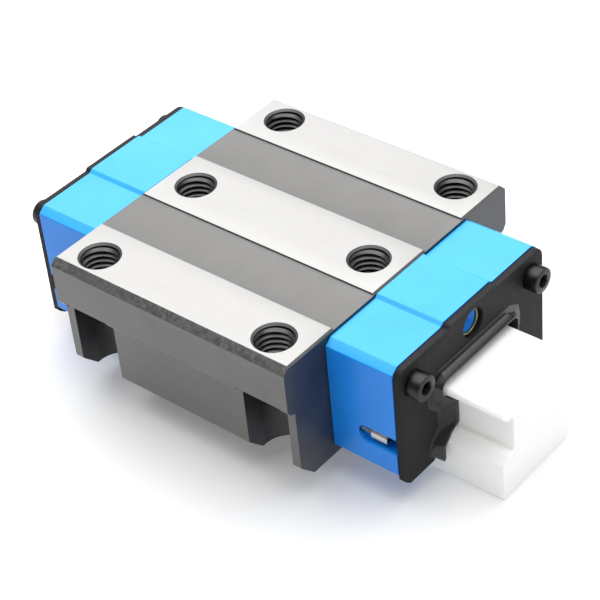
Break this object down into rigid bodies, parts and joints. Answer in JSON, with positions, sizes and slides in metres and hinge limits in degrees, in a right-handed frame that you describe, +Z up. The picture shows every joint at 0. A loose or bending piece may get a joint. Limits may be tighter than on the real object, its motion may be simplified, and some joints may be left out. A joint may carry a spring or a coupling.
{
  "type": "linear guide carriage",
  "caption": "Flanged recirculating roller guide carriage with plastic end plates, end seals and tapped mounting holes, held on its plastic mounting rail.",
  "frame": {"origin": "centre of the ground top mounting face of the casing", "axes": "+X along the rail towards the front end, +Y across towards the left flange, +Z up out of the mounting face"},
  "size_m": [0.122, 0.07, 0.0348],
  "materials": {
    "ground_steel": "ground on the strips, satin elsewhere",
    "blue_plastic": "glossy",
    "black_plate": "satin black",
    "black_rubber": "smooth",
    "black_screw": "black oxide",
    "plain_screw": "plain",
    "brass": "satin",
    "guide_plastic": "matte",
    "retainer_plastic": "matte",
    "roller_steel": "polished",
    "white_plastic": "satin"
  },
  "bodies": {
    "carriage": {"carriage_casing": "ground_steel", "end_plate_front": "blue_plastic", "seal_plate_front": "black_plate", "seal_lip_front": "black_rubber", "grease_port_ring_front": "brass", "seal_screw_front_left": "black_screw", "plate_screw_front_left": "plain_screw", "seal_screw_front_right": "black_screw", "plate_screw_front_right": "plain_screw", "end_plate_rear": "blue_plastic", "seal_plate_rear": "black_plate", "seal_lip_rear": "black_rubber", "grease_port_ring_rear": "brass", "seal_screw_rear_left": "black_screw", "plate_screw_rear_left": "plain_screw", "seal_screw_rear_right": "black_screw", "plate_screw_rear_right": "plain_screw", "upper_retainer_left": "retainer_plastic", "middle_retainer_left": "retainer_plastic", "lower_retainer_left": "retainer_plastic", "under_seal_left": "black_rubber", "return_sleeve_upper_left": "guide_plastic", "turn_guide_front_upper_left": "guide_plastic", "turn_guide_rear_upper_left": "guide_plastic", "return_sleeve_lower_left": "guide_plastic", "turn_guide_front_lower_left": "guide_plastic", "turn_guide_rear_lower_left": "guide_plastic", "upper_retainer_right": "retainer_plastic", "middle_retainer_right": "retainer_plastic", "lower_retainer_right": "retainer_plastic", "under_seal_right": "black_rubber", "return_sleeve_upper_right": "guide_plastic", "turn_guide_front_upper_right": "guide_plastic", "turn_guide_rear_upper_right": "guide_plastic", "return_sleeve_lower_right": "guide_plastic", "turn_guide_front_lower_right": "guide_plastic", "turn_guide_rear_lower_right": "guide_plastic"},
    "mounting_rail": {"mounting_rail": "white_plastic"},
    "rollers_loaded_upper_left": {"roller_row_loaded_upper_left": "roller_steel"},
    "rollers_return_upper_left": {"roller_row_return_upper_left": "roller_steel"},
    "rollers_turn_front_upper_left": {"roller_turn_front_upper_left": "roller_steel"},
    "rollers_turn_rear_upper_left": {"roller_turn_rear_upper_left": "roller_steel"},
    "rollers_loaded_upper_right": {"roller_row_loaded_upper_right": "roller_steel"},
    "rollers_return_upper_right": {"roller_row_return_upper_right": "roller_steel"},
    "rollers_turn_front_upper_right": {"roller_turn_front_upper_right": "roller_steel"},
    "rollers_turn_rear_upper_right": {"roller_turn_rear_upper_right": "roller_steel"},
    "rollers_loaded_lower_left": {"roller_row_loaded_lower_left": "roller_steel"},
    "rollers_return_lower_left": {"roller_row_return_lower_left": "roller_steel"},
    "rollers_turn_front_lower_left": {"roller_turn_front_lower_left": "roller_steel"},
    "rollers_turn_rear_lower_left": {"roller_turn_rear_lower_left": "roller_steel"},
    "rollers_loaded_lower_right": {"roller_row_loaded_lower_right": "roller_steel"},
    "rollers_return_lower_right": {"roller_row_return_lower_right": "roller_steel"},
    "rollers_turn_front_lower_right": {"roller_turn_front_lower_right": "roller_steel"},
    "rollers_turn_rear_lower_right": {"roller_turn_rear_lower_right": "roller_steel"}
  },
  "joints": [
    {"name": "rail_slide", "type": "slide", "parent": "carriage", "child": "mounting_rail", "axis": [1, 0, 0], "range_m": [-0.115, 0.115]},
    {"name": "circulation_upper_left", "type": "slide", "parent": "carriage", "child": "rollers_loaded_upper_left", "axis": [1, 0, 0], "range_m": [-0.00205, 0.00205]},
    {"name": "return_upper_left", "type": "slide", "parent": "carriage", "child": "rollers_return_upper_left", "axis": [1, 0, 0], "range_m": [-0.0021, 0.0021]},
    {"name": "turn_front_upper_left", "type": "hinge", "parent": "carriage", "child": "rollers_turn_front_upper_left", "pos_m": [0.03075, 0.01469, -0.02067], "axis": [0, 0.7071, 0.7071], "range_deg": [-23, 23]},
    {"name": "turn_rear_upper_left", "type": "hinge", "parent": "carriage", "child": "rollers_turn_rear_upper_left", "pos_m": [-0.03075, 0.01469, -0.02067], "axis": [0, 0.7071, 0.7071], "range_deg": [-23, 23]},
    {"name": "circulation_upper_right", "type": "slide", "parent": "carriage", "child": "rollers_loaded_upper_right", "axis": [1, 0, 0], "range_m": [-0.00205, 0.00205]},
    {"name": "return_upper_right", "type": "slide", "parent": "carriage", "child": "rollers_return_upper_right", "axis": [1, 0, 0], "range_m": [-0.0021, 0.0021]},
    {"name": "turn_front_upper_right", "type": "hinge", "parent": "carriage", "child": "rollers_turn_front_upper_right", "pos_m": [0.03075, -0.01469, -0.02067], "axis": [0, 0.7071, -0.7071], "range_deg": [-23, 23]},
    {"name": "turn_rear_upper_right", "type": "hinge", "parent": "carriage", "child": "rollers_turn_rear_upper_right", "pos_m": [-0.03075, -0.01469, -0.02067], "axis": [0, 0.7071, -0.7071], "range_deg": [-23, 23]},
    {"name": "circulation_lower_left", "type": "slide", "parent": "carriage", "child": "rollers_loaded_lower_left", "axis": [1, 0, 0], "range_m": [-0.00205, 0.00205]},
    {"name": "return_lower_left", "type": "slide", "parent": "carriage", "child": "rollers_return_lower_left", "axis": [1, 0, 0], "range_m": [-0.0021, 0.0021]},
    {"name": "turn_front_lower_left", "type": "hinge", "parent": "carriage", "child": "rollers_turn_front_lower_left", "pos_m": [0.0369, 0.01469, -0.01933], "axis": [0, -0.7071, 0.7071], "range_deg": [-23, 23]},
    {"name": "turn_rear_lower_left", "type": "hinge", "parent": "carriage", "child": "rollers_turn_rear_lower_left", "pos_m": [-0.0369, 0.01469, -0.01933], "axis": [0, -0.7071, 0.7071], "range_deg": [-23, 23]},
    {"name": "circulation_lower_right", "type": "slide", "parent": "carriage", "child": "rollers_loaded_lower_right", "axis": [1, 0, 0], "range_m": [-0.00205, 0.00205]},
    {"name": "return_lower_right", "type": "slide", "parent": "carriage", "child": "rollers_return_lower_right", "axis": [1, 0, 0], "range_m": [-0.0021, 0.0021]},
    {"name": "turn_front_lower_right", "type": "hinge", "parent": "carriage", "child": "rollers_turn_front_lower_right", "pos_m": [0.0369, -0.01469, -0.01933], "axis": [0, -0.7071, -0.7071], "range_deg": [-23, 23]},
    {"name": "turn_rear_lower_right", "type": "hinge", "parent": "carriage", "child": "rollers_turn_rear_lower_right", "pos_m": [-0.0369, -0.01469, -0.01933], "axis": [0, -0.7071, -0.7071], "range_deg": [-23, 23]}
  ],
  "couplings": [
    {"joint": "return_upper_left", "follows": "circulation_upper_left", "ratio": -1},
    {"joint": "turn_front_upper_left", "follows": "circulation_upper_left", "rad_per_m": 191.56},
    {"joint": "turn_rear_upper_left", "follows": "circulation_upper_left", "rad_per_m": 191.56},
    {"joint": "return_upper_right", "follows": "circulation_upper_right", "ratio": -1},
    {"joint": "turn_front_upper_right", "follows": "circulation_upper_right", "rad_per_m": 191.56},
    {"joint": "turn_rear_upper_right", "follows": "circulation_upper_right", "rad_per_m": 191.56},
    {"joint": "return_lower_left", "follows": "circulation_lower_left", "ratio": -1},
    {"joint": "turn_front_lower_left", "follows": "circulation_lower_left", "rad_per_m": 191.56},
    {"joint": "turn_rear_lower_left", "follows": "circulation_lower_left", "rad_per_m": 191.56},
    {"joint": "return_lower_right", "follows": "circulation_lower_right", "ratio": -1},
    {"joint": "turn_front_lower_right", "follows": "circulation_lower_right", "rad_per_m": 191.56},
    {"joint": "turn_rear_lower_right", "follows": "circulation_lower_right", "rad_per_m": 191.56}
  ]
}
